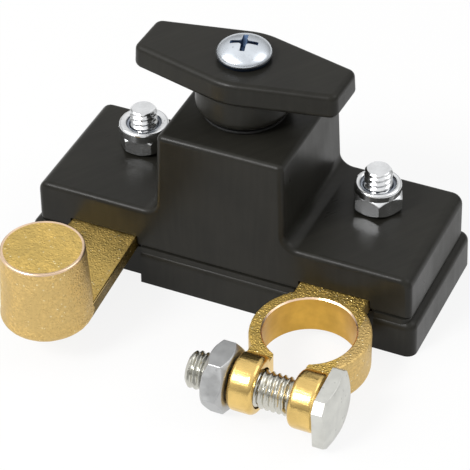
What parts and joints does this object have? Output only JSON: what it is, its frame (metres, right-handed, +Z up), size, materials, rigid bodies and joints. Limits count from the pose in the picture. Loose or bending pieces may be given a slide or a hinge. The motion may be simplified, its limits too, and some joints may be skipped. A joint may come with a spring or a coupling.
{
  "type": "battery disconnect switch",
  "caption": "Battery terminal disconnect switch: black moulded housing with a turning lever knob, a brass battery post on one arm and a split brass post clamp on the other.",
  "frame": {"origin": "middle of the underside of the base", "axes": "+Z up along the knob's axis, +X along the housing towards the clamp's side, -Y towards the post and the clamp"},
  "size_m": [0.088, 0.0691, 0.0556],
  "materials": {
    "black_plastic": "satin",
    "dark_plastic": "satin",
    "rubber": "matte",
    "cast_brass": "cast, satin",
    "zinc_plate": "bright zinc plate",
    "copper": "bright",
    "nylon": "satin"
  },
  "bodies": {
    "housing": {"upper_housing": "black_plastic", "base_tray": "black_plastic", "post_terminal": "cast_brass", "clamp_terminal": "cast_brass", "clamp_bolt": "zinc_plate", "clamp_nut": "zinc_plate", "left_stud_bolt": "zinc_plate", "right_stud_bolt": "zinc_plate", "left_lock_nut": "zinc_plate", "right_lock_nut": "zinc_plate", "left_nut_insert": "nylon", "right_nut_insert": "nylon", "shaft_seal": "rubber", "thrust_washer": "copper"},
    "rotor": {"knob": "black_plastic", "knob_screw": "zinc_plate", "spindle": "zinc_plate", "rotor_carrier": "dark_plastic", "contact_bridge": "copper", "contact_spring": "zinc_plate"}
  },
  "joints": [
    {"name": "knob_turn", "type": "hinge", "parent": "housing", "child": "rotor", "pos_m": [-0.0009, 0, 0.0475], "axis": [0, 0, 1], "range_deg": [0, 90]}
  ]
}
